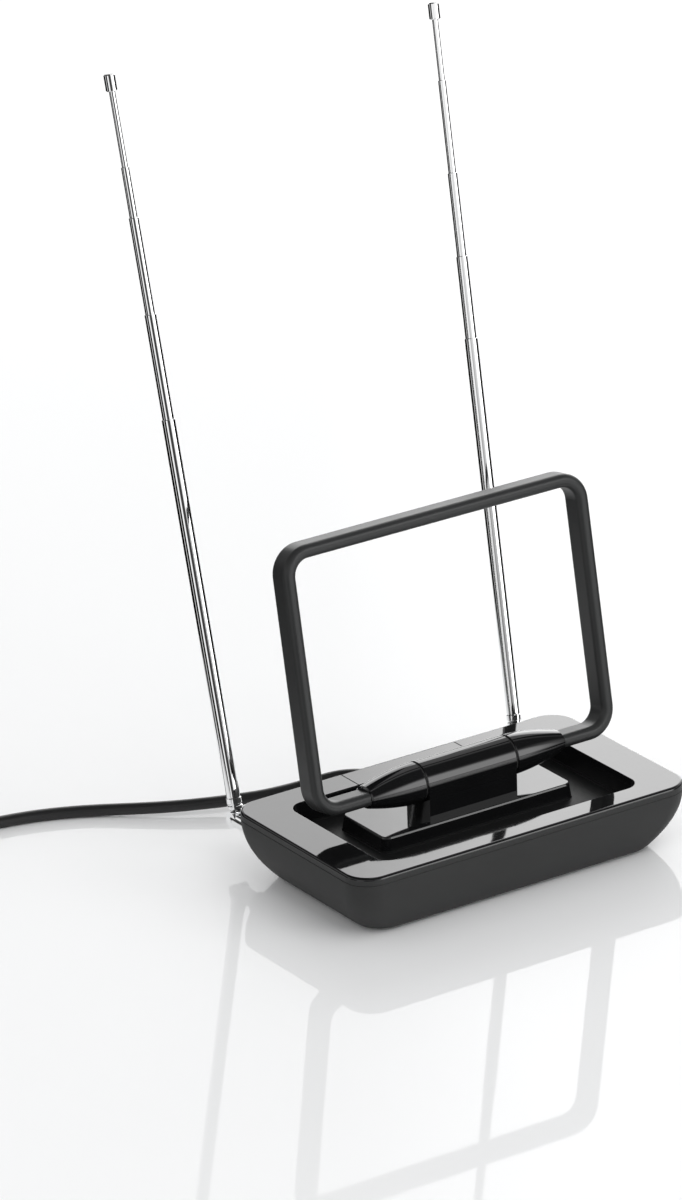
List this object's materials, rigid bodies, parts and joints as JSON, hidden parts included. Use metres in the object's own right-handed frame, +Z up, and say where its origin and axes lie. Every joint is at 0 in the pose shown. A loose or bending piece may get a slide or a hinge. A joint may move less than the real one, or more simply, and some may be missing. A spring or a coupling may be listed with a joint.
{
  "type": "tv antenna",
  "caption": "Table-top television aerial: low black base, tilting rectangular loop on a barrel hinge and two telescopic chrome rods on swivel arms.",
  "frame": {"origin": "middle of the base, on the plane that the four feet rest on", "axes": "+Z up; the front, where the loop folds down, faces -Y; X along the base, with the rods behind it at +Y"},
  "size_m": [0.3741, 0.3246, 0.3775],
  "materials": {
    "gloss_black": "gloss",
    "satin_black": "satin",
    "shell_black": "matt",
    "rod_chrome": "polished",
    "arm_metal": "satin",
    "screw_steel": "satin",
    "weight_steel": "rough",
    "foot_rubber": "matt",
    "lead_jacket": "satin",
    "plug_black": "gloss",
    "plug_metal": "satin",
    "pin_brass": "satin",
    "board_green": "satin",
    "can_metal": "satin",
    "core_ferrite": "rough",
    "washer_black": "matt"
  },
  "bodies": {
    "base": {"bottom_shell": "shell_black", "top_cover": "gloss_black", "rear_panel": "gloss_black", "hinge_saddle": "gloss_black", "saddle_screws": "screw_steel", "circuit_board": "board_green", "shield_can": "can_metal", "balun_core": "core_ferrite", "weight_left": "weight_steel", "weight_right": "weight_steel", "feet": "foot_rubber", "case_screws": "screw_steel", "lead_gland": "lead_jacket", "lead": "lead_jacket", "lead_coil": "lead_jacket", "plug_grip": "plug_black", "plug_barrel": "plug_metal", "plug_pin": "pin_brass"},
    "loop": {"loop_bar": "satin_black", "cone_left": "gloss_black", "cone_right": "gloss_black", "hinge_axle": "screw_steel", "washer_left": "washer_black", "washer_right": "washer_black"},
    "swivel_left": {"stud_left": "arm_metal", "nut_left": "screw_steel", "tilt_pin_left": "rod_chrome"},
    "rod_1_left": {"foot_left": "rod_chrome", "tube_1_left": "rod_chrome"},
    "rod_2_left": {"tube_2_left": "rod_chrome"},
    "rod_3_left": {"tube_3_left": "rod_chrome"},
    "rod_4_left": {"tube_4_left": "rod_chrome"},
    "rod_5_left": {"tube_5_left": "rod_chrome", "cap_left": "rod_chrome"},
    "swivel_right": {"stud_right": "arm_metal", "nut_right": "screw_steel", "tilt_pin_right": "rod_chrome"},
    "rod_1_right": {"foot_right": "rod_chrome", "tube_1_right": "rod_chrome"},
    "rod_2_right": {"tube_2_right": "rod_chrome"},
    "rod_3_right": {"tube_3_right": "rod_chrome"},
    "rod_4_right": {"tube_4_right": "rod_chrome"},
    "rod_5_right": {"tube_5_right": "rod_chrome", "cap_right": "rod_chrome"}
  },
  "joints": [
    {"name": "loop_tilt", "type": "hinge", "parent": "base", "child": "loop", "pos_m": [0, 0, 0.049], "axis": [-1, 0, 0], "range_deg": [-100, 30]},
    {"name": "swing_left", "type": "hinge", "parent": "base", "child": "swivel_left", "pos_m": [-0.083, 0.073, 0.0195], "axis": [0, -1, 0], "range_deg": [-20, 90]},
    {"name": "lean_left", "type": "hinge", "parent": "swivel_left", "child": "rod_1_left", "pos_m": [-0.083, 0.073, 0.0195], "axis": [-1, 0, 0], "range_deg": [-14, 76]},
    {"name": "extend_2_left", "type": "slide", "parent": "rod_1_left", "child": "rod_2_left", "axis": [0, 0.2419, 0.9703], "range_m": [-0.0497, 0.1223]},
    {"name": "extend_3_left", "type": "slide", "parent": "rod_2_left", "child": "rod_3_left", "axis": [0, 0.2419, 0.9703], "range_m": [-0.0453, 0.1267]},
    {"name": "extend_4_left", "type": "slide", "parent": "rod_3_left", "child": "rod_4_left", "axis": [0, 0.2419, 0.9703], "range_m": [-0.0227, 0.1493]},
    {"name": "extend_5_left", "type": "slide", "parent": "rod_4_left", "child": "rod_5_left", "axis": [0, 0.2419, 0.9703], "range_m": [-0.0349, 0.1371]},
    {"name": "swing_right", "type": "hinge", "parent": "base", "child": "swivel_right", "pos_m": [0.083, 0.073, 0.0195], "axis": [0, 1, 0], "range_deg": [-26.3, 83.7]},
    {"name": "lean_right", "type": "hinge", "parent": "swivel_right", "child": "rod_1_right", "pos_m": [0.083, 0.073, 0.0195], "axis": [-0.994, 0, 0.1097], "range_deg": [-18, 72]},
    {"name": "extend_2_right", "type": "slide", "parent": "rod_1_right", "child": "rod_2_right", "axis": [0.1044, 0.309, 0.9453], "range_m": [-0.039, 0.133]},
    {"name": "extend_3_right", "type": "slide", "parent": "rod_2_right", "child": "rod_3_right", "axis": [0.1044, 0.309, 0.9453], "range_m": [-0.0396, 0.1324]},
    {"name": "extend_4_right", "type": "slide", "parent": "rod_3_right", "child": "rod_4_right", "axis": [0.1044, 0.309, 0.9453], "range_m": [-0.0441, 0.1279]},
    {"name": "extend_5_right", "type": "slide", "parent": "rod_4_right", "child": "rod_5_right", "axis": [0.1044, 0.309, 0.9453], "range_m": [-0.0281, 0.1439]}
  ]
}
